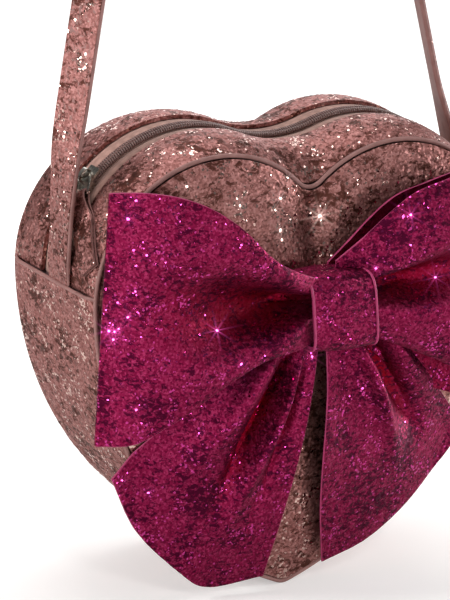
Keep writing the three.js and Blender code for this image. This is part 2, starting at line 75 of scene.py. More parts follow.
heart = dict(
    width=1000 * (panelHigh[0] - panelLow[0]),
    lobe=56, side=152, sideTurn=math.radians(-4.3), tip=6,
    notch=9,  # between the lobes, at the panel edges
    dip=60,  # the same dip, along the zip
    depth=73, bulge=0.8, zipBulge=6.5, pile=0.3, wall=2.2, crown=9, crownAt=118,
    opening=23, underlap=3,  # of the zip
)
bagInside = (0, 0, heart["crownAt"])
halfDepth = heart["depth"] / 2
lobeX = heart["width"] / 2 - heart["lobe"]
sideX = lobeX - (heart["side"] - heart["lobe"]) * math.cos(heart["sideTurn"])
sideZ = heart["tip"] + math.sqrt((heart["side"] - heart["tip"]) ** 2 - sideX ** 2)
lobeZ = sideZ + (heart["side"] - heart["lobe"]) * math.sin(heart["sideTurn"])
seamZ = lobeZ  # side seams, level with the lobes' middles
tapeEdge = heart["opening"] / 2 + heart["underlap"]
zipLift = (heart["zipBulge"] - heart["bulge"]) / 2  # the zip's lobes lie this far up and inwards
zipGrow = (heart["zipBulge"] + heart["bulge"]) / 2  # and are this much larger


def toFrame(points):
    return (np.asarray(points, float) + [bagMiddle, bagForward, bagTip]) / 1000


def ease(t):
    t = np.clip(t, 0, 1)
    return t * t * (3 - 2 * t)


def through(xs, ys, at):  # smooth curve through a few points
    xs, ys = np.asarray(xs, float), np.asarray(ys, float)
    slopes = np.gradient(ys, xs)
    i = np.clip(np.searchsorted(xs, at) - 1, 0, len(xs) - 2)
    step = xs[i + 1] - xs[i]
    t = np.clip((at - xs[i]) / step, 0, 1)
    a, b = (1 + 2 * t) * (1 - t) ** 2, t * (1 - t) ** 2
    c, d = t * t * (3 - 2 * t), t * t * (t - 1)
    return a * ys[i] + b * step * slopes[i] + c * ys[i + 1] + d * step * slopes[i + 1]


def unit(vectors):
    return vectors / np.maximum(np.linalg.norm(vectors, axis=-1, keepdims=True), 1e-9)


def evenly(points, count, closed=False):  # same line, with points at even steps
    points = np.asarray(points, float)
    if closed:
        points = np.vstack([points, points[:1]])
    run = np.concatenate([[0], np.cumsum(np.linalg.norm(np.diff(points, axis=0), axis=1))])
    at = np.linspace(0, run[-1], count + 1 if closed else count)
    line = np.stack([np.interp(at, run, points[:, k]) for k in range(points.shape[1])], 1)
    return line[:-1] if closed else line


# Outline of the heart
outlineSet = dict(notchSteps=16, lobeSteps=96, cornerSteps=6, sideSteps=140, tipSteps=12, zipFall=2.5)


def arcLine(x, z, radius, start, stop, count):
    angle = np.linspace(start, stop, count + 1)
    return np.stack([x + radius * np.cos(angle), z + radius * np.sin(angle)], 1)


def outFrom(run, line):  # sideways from a flat line, away from the bag's inside
    out = unit(np.stack([run[:, 1], -run[:, 0]], 1))
    return out * np.sign((out * (line - [0, heart["crownAt"]])).sum())


def bothSides(half):  # half a line from the middle to the right, joined to its mirror image
    return np.concatenate([half[::-1] * [-1, 1], half[1:]])


def upperLine(grow, notch, lift=0.0, endAngle=None):  # lift 0 at the panel edges, 1 along the zip
    x, z = lobeX - zipLift * lift, lobeZ + zipLift * lift
    notchZ = z + math.sqrt((heart["lobe"] + notch) ** 2 - x ** 2)
    meet = math.atan2(z - notchZ, x)
    if endAngle is None:
        endAngle = math.asin((seamZ - z) / (heart["lobe"] + grow))
    inner = arcLine(0, notchZ, notch - grow, -math.pi / 2, meet, outlineSet["notchSteps"])
    lobe = arcLine(x, z, heart["lobe"] + grow, meet + math.pi, endAngle, outlineSet["lobeSteps"])
    return bothSides(np.concatenate([inner, lobe[1:]]))


def lowerLine(grow, fine=1.0):
    corner, sides, tips = (round(outlineSet[k] * fine) for k in ("cornerSteps", "sideSteps", "tipSteps"))
    turn = math.atan2(heart["tip"] - sideZ, -sideX)
    lobe = arcLine(lobeX, lobeZ, heart["lobe"] + grow, 0, heart["sideTurn"], corner)
    side = arcLine(sideX, sideZ, heart["side"] + grow, heart["sideTurn"], turn, sides)
    tip = arcLine(0, heart["tip"], heart["tip"] + grow, turn, -math.pi / 2, tips)
    half = np.concatenate([lobe, side[1:], tip[1:]])
    return np.concatenate([half, (half[::-1] * [-1, 1])[1:]])


def heartLine(grow, count):
    whole = np.concatenate([upperLine(grow, heart["notch"]), lowerLine(grow)[1:-1]])
    return evenly(whole, count, closed=True)


def fullness(y):  # 1 along the zip, 0 at the panel edges
    return 1 - np.clip((np.abs(y) - tapeEdge) / (halfDepth - tapeEdge), 0, 1) ** outlineSet["zipFall"]


def bulgeAt(y):
    return heart["bulge"] * fullness(y)


# Meshes from grids of points
def roughen(grid, height, wrap=False, wander=0.25):  # glitter's uneven pile; the rims stay clean
    def along(axis, around):
        if around:
            return (np.roll(grid, -1, axis) - np.roll(grid, 1, axis)) / 2
        return np.gradient(grid, axis=axis)
    du, dv = along(0, wrap), along(1, False)
    normal = unit(np.cross(du, dv))
    spacing = np.minimum(np.linalg.norm(du, axis=-1), np.linalg.norm(dv, axis=-1))
    share = np.clip(spacing, 0, 1)
    if not wrap:
        share[[0, -1]] = 0
    share[:, 0] = 0
    share[:, -1] = 0
    jitter = [rng.uniform(-1, 1, grid.shape[:2]) * share for _ in range(3)]
    lift = jitter[0][..., None] * normal * height
    return grid + lift + jitter[1][..., None] * du * wander + jitter[2][..., None] * dv * wander


def gridPiece(name, grid, wrap=False, around=False, outward=None):
    rows, cols = grid.shape[:2]
    index = np.arange(rows * cols).reshape(rows, cols)
    if wrap:
        index = np.vstack([index, index[:1]])
    if around:
        index = np.hstack([index, index[:, :1]])
    quads = np.stack([index[:-1, :-1], index[1:, :-1], index[1:, 1:], index[:-1, 1:]], -1).reshape(-1, 4)
    points = toFrame(grid.reshape(-1, 3))
    if outward is not None:
        a, b, c = (points[quads[:, k]] for k in (0, 1, 2))
        facing = np.cross(b - a, c - a)
        away = (a + c) / 2 - toFrame(outward)
        if (facing * away).sum() < 0:
            quads = quads[:, ::-1]
    mesh = bpy.data.meshes.new(name)
    mesh.from_pydata(points.tolist(), [], quads.tolist())
    piece = bpy.data.objects.new(name, mesh)
    bpy.context.collection.objects.link(piece)
    return piece


def pick(piece):
    bpy.ops.object.select_all(action="DESELECT")
    piece.select_set(True)
    bpy.context.view_layer.objects.active = piece


def weld(piece, distance=0.01):
    work = bmesh.new()
    work.from_mesh(piece.data)
    bmesh.ops.remove_doubles(work, verts=work.verts, dist=distance / 1000)
    work.to_mesh(piece.data)
    work.free()


def capEnds(piece):  # closes the two open ends of a swept section
    work = bmesh.new()
    work.from_mesh(piece.data)
    bmesh.ops.holes_fill(work, edges=[e for e in work.edges if e.is_boundary], sides=0)
    bmesh.ops.recalc_face_normals(work, faces=work.faces)
    work.to_mesh(piece.data)
    work.free()


def thicken(piece, thickness, offset=-1.0):  # rim faces take the piece's second material
    pick(piece)
    bpy.ops.object.modifier_add(type="SOLIDIFY")
    solid = piece.modifiers[-1]
    solid.thickness = thickness / 1000
    solid.offset = offset
    solid.use_rim = True
    solid.material_offset_rim = 1 if len(piece.data.materials) > 1 else 0
    bpy.ops.object.modifier_apply(modifier=solid.name)


def smoothShade(piece, angle=50):
    pick(piece)
    bpy.ops.object.shade_smooth_by_angle(angle=math.radians(angle))


def dress(piece, body, node):  # trim has no node, and the strap is tied to no body
    if body:
        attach(piece, body)
    if node:
        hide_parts(node)


def finishCloth(piece, cloths, thickness, body, node, offset=-1.0, angle=60):
    for cloth in cloths:
        piece.data.materials.append(cloth)
    thicken(piece, thickness, offset)
    smoothShade(piece, angle)
    dress(piece, body, node)


def finishRod(piece, material, body, node, angle=50):
    capEnds(piece)
    piece.data.materials.append(material)
    smoothShade(piece, angle)
    dress(piece, body, node)


def ringSection(count, across, height):  # round section of a wire, bead or hem
    turns = np.arange(count) * 2 * math.pi / count
    return [(across * math.cos(t), height * math.sin(t)) for t in turns]


def sectionAlong(line, sides, ups, section):  # a flat section carried along a line
    return np.stack([line + sides * across + ups * height for across, height in section], 1)


def withDepth(flat, y):  # a flat line or grid, set at its depth in the bag
    return np.stack([flat[..., 0], np.broadcast_to(y, flat.shape[:-1]), flat[..., 1]], -1)


# Materials
def linear(hexColour):
    parts = [int(hexColour[k:k + 2], 16) / 255 for k in (1, 3, 5)]
    return tuple(p / 12.92 if p <= 0.04045 else ((p + 0.055) / 1.055) ** 2.4 for p in parts) + (1.0,)


def setNode(owner, node, settings=None, links=None):
    for name, value in (settings or {}).items():
        if isinstance(name, int) or name in node.inputs:
            node.inputs[name].default_value = value
        else:
            setattr(node, name, value)
    for name, source in (links or {}).items():
        owner.node_tree.links.new(source, node.inputs[name])
    return node


def addNode(owner, kind, settings=None, links=None):
    return setNode(owner, owner.node_tree.nodes.new(kind), settings, links)


def newMaterial(name):
    material = bpy.data.materials.new(name)
    material.use_nodes = True
    shader = material.node_tree.nodes["Principled BSDF"]
    place = addNode(material, "ShaderNodeTexCoord").outputs["Object"]
    return material, shader, place


def setRamp(ramp, stops):
    elements = ramp.color_ramp.elements
    while len(elements) < len(stops):
        elements.new(0.5)
    for element, (position, hexColour) in zip(elements, stops):
        element.position = position
        element.color = linear(hexColour)


# Glitter cloth: metallised film flakes glued on a woven backing. Most flakes lie nearly flat and look satin,
# the pile has dark wandering cracks, and in places flakes stand up like mirrors and flash. Real flakes are
# 0.4 to 1 mm across; these are near the large end, so that they show. Sizes are in millimetres.
glitterSet = dict(crackStretch=(0.8, 0.8, 1.2), crackDetail=5.0, crackRough=0.7, crackWander=0.6,
                  crackEdge=0.08, patch=17, patchShare=0.4, cluster=9, clusterFrom=0.52, clusterTo=0.68,
                  strayShare=0.05, satin=0.55, polish=0.1, flatTilt=0.34, mirrorTilt=0.5)


def glitterCloth(name, flake, stops, crackColour, foldShadeColour, mirrorColour, crackSize, cracks, mirrors):
    material, shader, place = newMaterial(name)
    flakes = addNode(material, "ShaderNodeTexVoronoi", {"Scale": 1000 / flake}, {"Vector": place})
    chance = addNode(material, "ShaderNodeTexWhiteNoise", links={"Vector": flakes.outputs["Position"]})
    random = addNode(material, "ShaderNodeSeparateColor", links={0: chance.outputs["Color"]})
    ramp = addNode(material, "ShaderNodeValToRGB", links={"Fac": random.outputs[0]})
    setRamp(ramp, stops)
    # painted shade: where the 'hollow' mark is set, the flake colour is mixed toward a deeper red that stands
    # in for shade and light bounced in the bow's folds
    fold = addNode(material, "ShaderNodeAttribute", {"attribute_name": "hollow"})
    film = addNode(material, "ShaderNodeMix", {"data_type": "RGBA", 7: linear(foldShadeColour)},
                   {0: fold.outputs["Fac"], 6: ramp.outputs["Color"]})
    level = addNode(material, "ShaderNodeVectorMath", {
        "operation": "MULTIPLY", 1: glitterSet["crackStretch"]}, {0: place})
    squiggle = addNode(material, "ShaderNodeTexNoise", {
        "Scale": 1000 / crackSize, "Detail": glitterSet["crackDetail"], "Roughness": glitterSet["crackRough"],
        "Distortion": glitterSet["crackWander"]}, {"Vector": level.outputs[0]})
    patch = addNode(material, "ShaderNodeTexNoise", {
        "Scale": 1000 / glitterSet["patch"], "Detail": 2.0}, {"Vector": place})
    cover = addNode(material, "ShaderNodeMath", {"operation": "MULTIPLY_ADD", 1: glitterSet["patchShare"]},
                    {0: patch.outputs["Fac"], 2: squiggle.outputs["Fac"]})
    whole = addNode(material, "ShaderNodeMapRange", {
        "From Min": cracks - glitterSet["crackEdge"], "From Max": cracks}, {"Value": cover.outputs[0]})
    colour = addNode(material, "ShaderNodeMix", {"data_type": "RGBA", 6: linear(crackColour)},
                     {0: whole.outputs[0], 7: film.outputs[2]})
    cluster = addNode(material, "ShaderNodeTexNoise", {
        "Scale": 1000 / glitterSet["cluster"], "Detail": 3.0}, {"Vector": place})
    crowd = addNode(material, "ShaderNodeMapRange", {
        "From Min": glitterSet["clusterFrom"], "From Max": glitterSet["clusterTo"],
        "To Min": mirrors * glitterSet["strayShare"], "To Max": mirrors}, {"Value": cluster.outputs["Fac"]})
    mirror = addNode(material, "ShaderNodeMath", {"operation": "LESS_THAN"},
                     {0: random.outputs[1], 1: crowd.outputs[0]})
    bright = addNode(material, "ShaderNodeMix", {"data_type": "RGBA", 7: linear(mirrorColour)},
                     {0: mirror.outputs[0], 6: colour.outputs[2]})
    rough = addNode(material, "ShaderNodeMapRange", {
        "To Min": glitterSet["satin"], "To Max": glitterSet["polish"]}, {"Value": mirror.outputs[0]})
    tilt = addNode(material, "ShaderNodeMapRange", {
        "To Min": glitterSet["flatTilt"], "To Max": glitterSet["mirrorTilt"]}, {"Value": mirror.outputs[0]})
    lean = addNode(material, "ShaderNodeVectorMath", {"operation": "SUBTRACT", 1: (0.5, 0.5, 0.5)},
                   {0: flakes.outputs["Color"]})
    scaled = addNode(material, "ShaderNodeVectorMath", {"operation": "SCALE"},
                     {0: lean.outputs[0], "Scale": tilt.outputs[0]})
    surface = addNode(material, "ShaderNodeNewGeometry")
    tilted = addNode(material, "ShaderNodeVectorMath", {"operation": "ADD"},
                     {0: surface.outputs["Normal"], 1: scaled.outputs[0]})
    facing = addNode(material, "ShaderNodeVectorMath", {"operation": "NORMALIZE"}, {0: tilted.outputs[0]})
    setNode(material, shader, {"Metallic": 1.0}, {
        "Base Color": bright.outputs[2], "Roughness": rough.outputs[0], "Normal": facing.outputs[0]})
    return material


def mottled(name, stops, blotch, detail):  # new material whose colour drifts in soft blotches, sized in mm
    material, shader, place = newMaterial(name)
    drift = addNode(material, "ShaderNodeTexNoise", {"Scale": 1000 / blotch, "Detail": detail},
                    {"Vector": place})
    ramp = addNode(material, "ShaderNodeValToRGB", links={"Fac": drift.outputs["Fac"]})
    setRamp(ramp, stops)
    setNode(material, shader, links={"Base Color": ramp.outputs["Color"]})
    return material, shader, place, drift


# Painted edge and synthetic leather: polyurethane, smooth with a faint grain, satin sheen.
def paintedEdge(name, hexColour, darker, grain):
    material, shader, place, _ = mottled(name, [(0.35, darker), (0.65, hexColour)], blotch=6, detail=4.0)
    pores = addNode(material, "ShaderNodeTexVoronoi", {"Scale": 1000 / grain}, {"Vector": place})
    bump = addNode(material, "ShaderNodeBump", {"Strength": 0.12, "Distance": 0.0002},
                   {"Height": pores.outputs["Distance"]})
    setNode(material, shader, {"Roughness": 0.5, "Specular IOR Level": 0.3}, {"Normal": bump.outputs[0]})
    return material


# Woven polyester: zip tape and lining, matt with fine ribs of thread. The threads are too fine to show,
# so the ribs are drawn about six threads wide.
def wovenCloth(name, hexColour, darker, thread, faded=8):
    material, shader, place = newMaterial(name)
    warp, weft = (addNode(material, "ShaderNodeTexWave", {
        "Scale": 1000 / thread / 20, "bands_direction": across, "Distortion": 0.6}, {"Vector": place})
        for across in ("Y", "X"))
    weave = addNode(material, "ShaderNodeMath", {"operation": "MULTIPLY"},
                    {0: warp.outputs["Fac"], 1: weft.outputs["Fac"]})
    fade = addNode(material, "ShaderNodeTexNoise", {"Scale": 1000 / faded, "Detail": 3.0}, {"Vector": place})
    tone = addNode(material, "ShaderNodeMath", {"operation": "MULTIPLY_ADD", 1: 0.35},
                   {0: weave.outputs[0], 2: fade.outputs["Fac"]})
    ramp = addNode(material, "ShaderNodeValToRGB", links={"Fac": tone.outputs[0]})
    setRamp(ramp, [(0.3, darker), (0.75, hexColour)])
    bump = addNode(material, "ShaderNodeBump", {"Strength": 0.4, "Distance": 0.0002},
                   {"Height": weave.outputs[0]})
    setNode(material, shader, {"Roughness": 0.8, "Sheen Weight": 0.08},
            {"Base Color": ramp.outputs["Color"], "Normal": bump.outputs[0]})
    return material


# Nylon monofilament: the zip's coil, dyed to the tape, with a soft gloss.
def dyedNylon(name, hexColour, darker):
    material, shader, _, _ = mottled(name, [(0.3, darker), (0.7, hexColour)], blotch=2.5, detail=2.0)
    setNode(material, shader, {"Roughness": 0.42, "IOR": 1.53})
    return material


# Gunmetal plating on die-cast zinc: grey, polished, worn a little lighter in patches.
def platedZinc(name, hexColour, worn):
    material, shader, _, wear = mottled(name, [(0.45, hexColour), (0.7, worn)], blotch=3, detail=5.0)
    rough = addNode(material, "ShaderNodeMapRange", {"To Min": 0.18, "To Max": 0.4},
                    {"Value": wear.outputs["Fac"]})
    setNode(material, shader, {"Metallic": 1.0}, {"Roughness": rough.outputs[0]})
    return material


roseGlitter = glitterCloth(
    "roseGlitterCloth", flake=0.9, stops=[(0.0, "#885853"), (0.5, "#a36f6a"), (1.0, "#be8a85")],
    crackColour="#5a352e", foldShadeColour="#8a5751", mirrorColour="#e0bdb3",
    crackSize=3.2, cracks=0.69, mirrors=0.3)
fuchsiaGlitter = glitterCloth(
    "fuchsiaGlitterCloth", flake=0.8, stops=[(0.0, "#6b0e32"), (0.5, "#861943"), (1.0, "#a2305c")],
    crackColour="#4a0b28", foldShadeColour="#8a0418", mirrorColour="#cc4090",
    crackSize=2.2, cracks=0.69, mirrors=0.24)
mauvePaint = paintedEdge("mauvePaintedEdge", "#976e69", "#855e59", grain=0.8)
pinkPaint = paintedEdge("pinkPaintedEdge", "#ac3866", "#963059", grain=0.8)
zipWeave = wovenCloth("zipTapeWeave", "#ae867a", "#906d62", thread=0.7)
liningWeave = wovenCloth("liningWeave", "#7d5c5c", "#644747", thread=0.6)
zipNylon = dyedNylon("zipCoilNylon", "#80605a", "#684b46")
gunmetal = platedZinc("gunmetalPlating", "#a8a49c", "#d8d3c8")
print("materials made")

# Camera: the photograph's view, with its slight roll
cameraSet = dict(azimuth=-32.17, elevation=16.71, roll=3.74, distance=2100, focal=4857.7,
                 aim=(0, 0, 95), slide=(-12.36, 19.3), imageHeight=600, clipEnd=20)


def addCamera():
    turn, rise, roll = (math.radians(cameraSet[k]) for k in ("azimuth", "elevation", "roll"))
    back = Vector((math.sin(turn) * math.cos(rise), -math.cos(turn) * math.cos(rise), math.sin(rise)))
    level = Vector((math.cos(turn), math.sin(turn), 0))
    upright = back.cross(level)
    right = level * math.cos(roll) + upright * math.sin(roll)
    up = upright * math.cos(roll) - level * math.sin(roll)
    place = Vector(cameraSet["aim"]) + back * cameraSet["distance"]
    place += right * cameraSet["slide"][0] + up * cameraSet["slide"][1]
    lens = bpy.data.cameras.new("camera")
    lens.lens = lens.sensor_width * cameraSet["focal"] / cameraSet["imageHeight"]
    lens.clip_end = cameraSet["clipEnd"]
    camera = bpy.data.objects.new("camera", lens)
    camera.matrix_world = Matrix((
        (right.x, up.x, back.x, 0), (right.y, up.y, back.y, 0), (right.z, up.z, back.z, 0), (0, 0, 0, 1)))
    camera.location = toFrame(place)
    bpy.context.collection.objects.link(camera)
    bpy.context.scene.camera = camera


addCamera()
print("camera set")


# Heart panels: padded, with a soft crease that runs down from the notch
panelSet = dict(around=560, rings=84, relief=0.26, creaseDepth=3.0, creaseWidth=6.0, creaseFrom=120,
                creaseRun=50, creaseRise=0.12, crownPower=3, fill=0.5, edgeSteps=720)


def panelGrid(side, grow, inset, around, rings):
    edge = heartLine(grow, around)
    share = np.linspace(0, 1, rings)[None, :, None]
    flat = edge[:, None, :] * (1 - share) + np.array([0, heart["crownAt"]]) * share
    crown = heart["crown"] * (1 - (1 - share[..., 0]) ** panelSet["crownPower"])
    near = np.exp(-(flat[..., 0] / panelSet["creaseWidth"]) ** 2)
    run = ease((flat[..., 1] - panelSet["creaseFrom"]) / panelSet["creaseRun"])
    run = run * ease(share[..., 0] / panelSet["creaseRise"])
    depth = halfDepth + crown - inset - panelSet["creaseDepth"] * near * run
    return withDepth(flat, side * depth)


def addPanel(name, side, node):
    grid = panelGrid(side, 0, 0, panelSet["around"], panelSet["rings"])
    piece = gridPiece(name, roughen(grid, panelSet["relief"], wrap=True), wrap=True,
                      outward=bagInside)
    weld(piece)
    finishCloth(piece, [roseGlitter], heart["wall"], "bag", node)


addPanel("frontHeartPanel", -1, "front_panel")
addPanel("backHeartPanel", 1, "back_panel")
print("heart panels made")

# Piping: smooth painted edge round the front panel
pipingSet = dict(diameter=1.9, gap=0.3, around=480, sides=14)


def addPiping():
    radius = pipingSet["diameter"] / 2
    turns = np.arange(pipingSet["sides"]) * 2 * math.pi / pipingSet["sides"]
    middle = heartLine(pipingSet["gap"] + radius, pipingSet["around"])
    out = outFrom(np.roll(middle, -1, 0) - np.roll(middle, 1, 0), middle)
    y = heart["wall"] / 2 - halfDepth
    flat = middle[:, None, :] - radius * np.cos(turns)[None, :, None] * out[:, None, :]
    grid = withDepth(flat, y + radius * np.sin(turns))
    piece = gridPiece("frontPanelPiping", grid, wrap=True, around=True)
    finishRod(piece, mauvePaint, "bag", "front_piping")


addPiping()
print("piping made")

# Lower gusset: band round the sides and the tip; its folded top edge covers the strap's ends
gussetSet = dict(front=-34.4, rear=35.7, across=66, wall=1.0, relief=0.32, coverHeight=2.1, coverFade=7,
                 coverRun=14, hem=0.75, hemTall=1.1, hemSink=0.6, hemSides=12, hemSteps=80)


def coverAt(y, z):  # how far the gusset's hem stands off, over the strap's end
    inside = np.minimum(y - gussetSet["front"], gussetSet["rear"] - y)
    return gussetSet["coverHeight"] * ease(inside / gussetSet["coverFade"]) * (
        1 - ease((seamZ - z) / gussetSet["coverRun"]))


def addGusset():
    ys = np.linspace(gussetSet["front"], gussetSet["rear"], gussetSet["across"])
    flat = lowerLine(0)
    out = outFrom(np.gradient(flat, axis=0), flat)
    grow = heart["pile"] + bulgeAt(ys)[None, :] + coverAt(ys[None, :], flat[:, 1:2])
    spot = flat[:, None, :] + out[:, None, :] * grow[..., None]
    grid = roughen(withDepth(spot, ys), gussetSet["relief"])
    piece = gridPiece("lowerGussetBand", grid, outward=bagInside)
    finishCloth(piece, [roseGlitter], gussetSet["wall"], "bag", "lower_gusset")


def addHem(name, side):
    ys = np.linspace(gussetSet["front"], gussetSet["rear"], gussetSet["hemSteps"])
    hem, sink = gussetSet["hem"], gussetSet["hem"] * gussetSet["hemSink"]
    x = side * (heart["width"] / 2 + heart["pile"] + bulgeAt(ys) + coverAt(ys, seamZ) - sink)
    line = np.stack([x, ys, np.full_like(ys, seamZ - sink)], 1)
    section = ringSection(gussetSet["hemSides"], hem, hem * gussetSet["hemTall"])
    grid = sectionAlong(line, np.array([1.0, 0, 0]), np.array([0, 0, 1.0]), section)
    finishRod(gridPiece(name, grid, around=True), mauvePaint, "bag", None)


addGusset()
addHem("leftGussetHem", -1)
addHem("rightGussetHem", 1)
print("lower gusset made")

# Zip band over the lobes: facings, tapes and coils
zipSet = dict(wall=1.8, relief=0.3, rows=24, tapeTop=1.55, tapeWall=0.8, slit=1.2, coilMiddle=2.85,
              coilOut=1.55, coilWide=1.2, coilHigh=0.65, wire=0.42, wireSides=6, pitch=1.1,
              turnSteps=10, coilEnd=30.85, tapeRows=28, welt=1.1, weltFrom=3.4, weltPower=0.7)


def notchAt(y):
    share = ease((abs(y) - tapeEdge) / (halfDepth - tapeEdge))
    return heart["dip"] + (heart["notch"] - heart["dip"]) * share


def addFacing(name, side, node):
    outer = -gussetSet["front"] if side < 0 else gussetSet["rear"]
    ys = side * np.linspace(heart["opening"] / 2, outer, zipSet["rows"])
    lines = [upperLine(heart["pile"] + zipGrow * fullness(y), notchAt(y), fullness(y)) for y in ys]
    grid = roughen(withDepth(np.stack(lines, 1), ys), zipSet["relief"])
    piece = gridPiece(name, grid, outward=bagInside)
    finishCloth(piece, [roseGlitter], zipSet["wall"], "bag", node)


def addTape(name, side, node):
    ys = side * np.linspace(zipSet["slit"] / 2, tapeEdge, zipSet["tapeRows"])
    across = np.clip((np.abs(ys) - zipSet["weltFrom"]) / (heart["opening"] / 2 - zipSet["weltFrom"]), 0, 1)
    tops = zipSet["tapeTop"] + zipSet["welt"] * np.sin(math.pi * across) ** zipSet["weltPower"]
    lines = [upperLine(top, heart["dip"], 1) for top in tops]
    piece = gridPiece(name, withDepth(np.stack(lines, 1), ys), outward=bagInside)
    finishCloth(piece, [zipWeave], zipSet["tapeWall"], "bag", node, angle=50)


def addCoil(name, side, node):
    line = upperLine(zipSet["coilMiddle"], heart["dip"], 1, math.radians(zipSet["coilEnd"]))
    length = np.linalg.norm(np.diff(line, axis=0), axis=1).sum()
    steps = round(length / zipSet["pitch"]) * zipSet["turnSteps"]
    line = evenly(line, steps)
    run = unit(np.gradient(line, axis=0))
    up = np.stack([-run[:, 1], run[:, 0]], 1)
    turn = np.arange(steps) * 2 * math.pi / zipSet["turnSteps"] + (0 if side < 0 else math.pi)
    middle = line + up * (zipSet["coilHigh"] * np.sin(turn))[:, None]
    y = side * (zipSet["coilOut"] + zipSet["coilWide"] * np.cos(turn))
    path, sides = withDepth(middle, y), withDepth(run, 0)
    ups = unit(np.cross(np.gradient(path, axis=0), sides))
    section = ringSection(zipSet["wireSides"], zipSet["wire"], zipSet["wire"])
    piece = gridPiece(name, sectionAlong(path, sides, ups, section), around=True)
    finishRod(piece, zipNylon, "bag", node, angle=80)


for place, side in (("front", -1), ("rear", 1)):
    addFacing(place + "ZipFacing", side, place + "_zip_facing")
    addTape(place + "ZipTape", side, place + "_zip_tape")
    addCoil(place + "ZipCoil", side, place + "_zip_coil")
print("zip band made")

# Metal pieces: the frame's own solids with their edges rounded
metalSet = dict(zip_slider=("sliderBody", "slider", 0.35), pull_ring=("pullRing", "pull", 0.5),
                left_zip_stop=("leftZipStop", "bag", 0.3), right_zip_stop=("rightZipStop", "bag", 0.3))
bevelSet = dict(weld=0.005, segments=3, sharpFrom=35, smoothTo=40)


def addMetal(node, name, body, radius):
    piece = bpy.data.objects.new(name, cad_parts[node].data.copy())
    bpy.context.collection.objects.link(piece)
    weld(piece, bevelSet["weld"])
    piece.data.materials.clear()
    piece.data.materials.append(gunmetal)
    pick(piece)
    bpy.ops.object.modifier_add(type="BEVEL")
    bevel = piece.modifiers[-1]
    bevel.width = radius / 1000
    bevel.segments = bevelSet["segments"]
    bevel.limit_method = "ANGLE"
    bevel.angle_limit = math.radians(bevelSet["sharpFrom"])
    bpy.ops.object.modifier_apply(modifier=bevel.name)
    smoothShade(piece, bevelSet["smoothTo"])
    dress(piece, body, node)


for node, (name, body, radius) in metalSet.items():
    addMetal(node, name, body, radius)
print("metal pieces made")

# Pull strip: folded over the ring's lower bar, curving down round the bag
pullSet = dict(width=11.5, length=34, neck=12, close=14, layer=1.0, loopGap=0.5, layerGap=0.4, lean=41,
               ringWire=1.2, ringLength=12, ringWidth=9, axis=62.85, sliderAngle=40, relief=0.18,
               clear=0.3, neckPlay=0.6, runSteps=36, turnSteps=14, acrossSteps=14)


def addPull():
    lean, middleAngle = math.radians(pullSet["lean"]), math.radians(pullSet["sliderAngle"])
    inside = pullSet["ringWire"] / 2 + pullSet["loopGap"]
    base = heart["lobe"] + zipGrow + pullSet["clear"]
    reach = pullSet["ringLength"] - pullSet["ringWire"]
    startAngle = middleAngle - math.atan2(reach * math.cos(lean), pullSet["axis"])
    startHeight = math.hypot(reach * math.cos(lean), pullSet["axis"])
    endHeight = base + pullSet["layer"] + pullSet["layerGap"] / 2
    run = np.linspace(0, pullSet["length"], pullSet["runSteps"])
    turns = np.linspace(0, math.pi, pullSet["turnSteps"])[1:-1]
    along = np.concatenate([run[::-1], np.zeros(len(turns)), run])
    turn = np.concatenate([np.zeros_like(run), turns, np.full_like(run, math.pi)])
    closing = ease(along / pullSet["close"])
    middle = startHeight + (endHeight - startHeight) * closing
    half = inside + (pullSet["layerGap"] / 2 - inside) * closing + pullSet["layer"] / 2
    neck = pullSet["ringWidth"] - 2 * pullSet["ringWire"] - pullSet["neckPlay"]
    wide = neck + (pullSet["width"] - neck) * ease((along - pullSet["ringWire"]) / pullSet["neck"])
    across = np.linspace(-0.5, 0.5, pullSet["acrossSteps"])[None, :] * wide[:, None]
    height = (middle + half * np.cos(turn))[:, None]
    ahead = (along - half * np.sin(turn))[:, None]
    angle = startAngle - (ahead * math.cos(lean) + across * math.sin(lean)) / base
    y = -reach * math.sin(lean) - ahead * math.sin(lean) + across * math.cos(lean)
    x, z = zipLift - lobeX - height * np.cos(angle), lobeZ + zipLift + height * np.sin(angle)
    piece = gridPiece("pullStrip", roughen(np.stack([x, y, z], -1), pullSet["relief"]))
    cloths = [roseGlitter, mauvePaint]
    finishCloth(piece, cloths, pullSet["layer"], "pull", "pull_strip", offset=0)


addPull()
print("pull made")

# Strap: smooth painted core with a glitter face; its ends go down behind the gusset's hem
strapSet = dict(
    width=16.5, core=2.05, face=0.45, faceWidth=15.3, inside=101.1, forward=5.5, tuck=6,
    leftRise=58, rightRise=13, twist=22, twistStart=22, twistLength=55,
    offset=42, radius=22, flat=10, height=420, relief=0.18, step=1.2, blendRun=40, footThin=0.6, footRun=9,
    rightBack=6, rightBackRun=70, rightBackEnd=260,  # the right leg hangs a little further back
    topSteps=60, easeRounds=60, easeShare=0.25, faceSink=0.8, edgeSteps=9, faceSteps=18, inwards=150,
)


